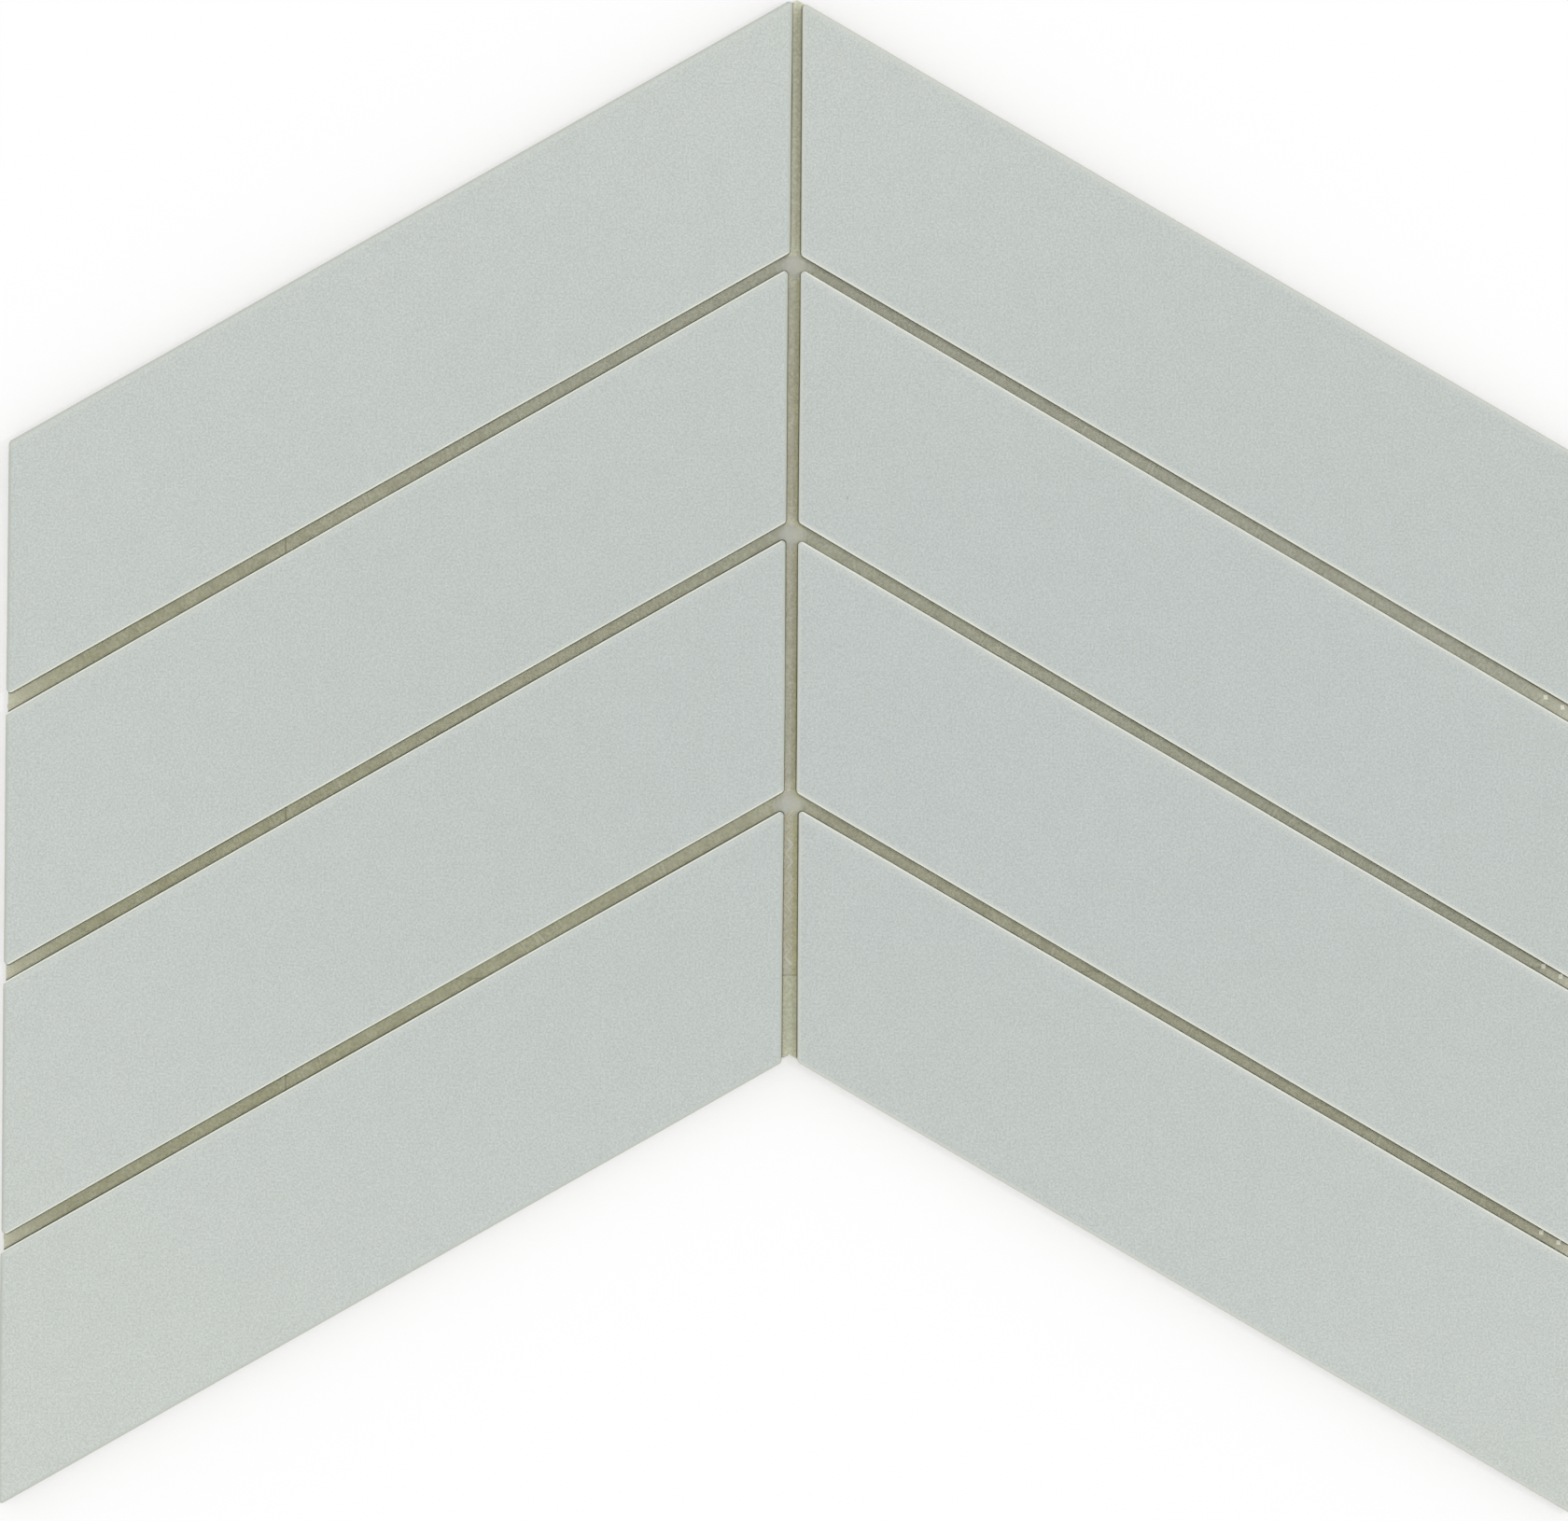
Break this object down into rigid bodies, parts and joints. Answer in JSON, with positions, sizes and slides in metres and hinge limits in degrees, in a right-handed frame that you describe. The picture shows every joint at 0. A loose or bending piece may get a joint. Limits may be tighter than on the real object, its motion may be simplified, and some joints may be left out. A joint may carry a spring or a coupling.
{
  "type": "chevron mosaic tile sheet",
  "caption": "Flat chevron sheet of satin-glazed parallelogram wall tiles in mirrored columns with open joints, held together by a mesh backing for setting in adhesive.",
  "frame": {"origin": "middle of the sheet's box, at the back of the mesh backing", "axes": "+Z out of the glazed faces, +Y towards the apex of the chevron, +X across the sheet, its longest extent"},
  "size_m": [0.3114, 0.2982, 0.0068],
  "materials": {
    "glaze": "satin grey-green glaze",
    "backing": "cream adhesive on glass-fibre mesh"
  },
  "bodies": {
    "root": {"left_tile_1": "glaze", "left_tile_2": "glaze", "left_tile_3": "glaze", "left_tile_4": "glaze", "right_tile_1": "glaze", "right_tile_2": "glaze", "right_tile_3": "glaze", "right_tile_4": "glaze", "mesh_backing": "backing"}
  },
  "joints": []
}
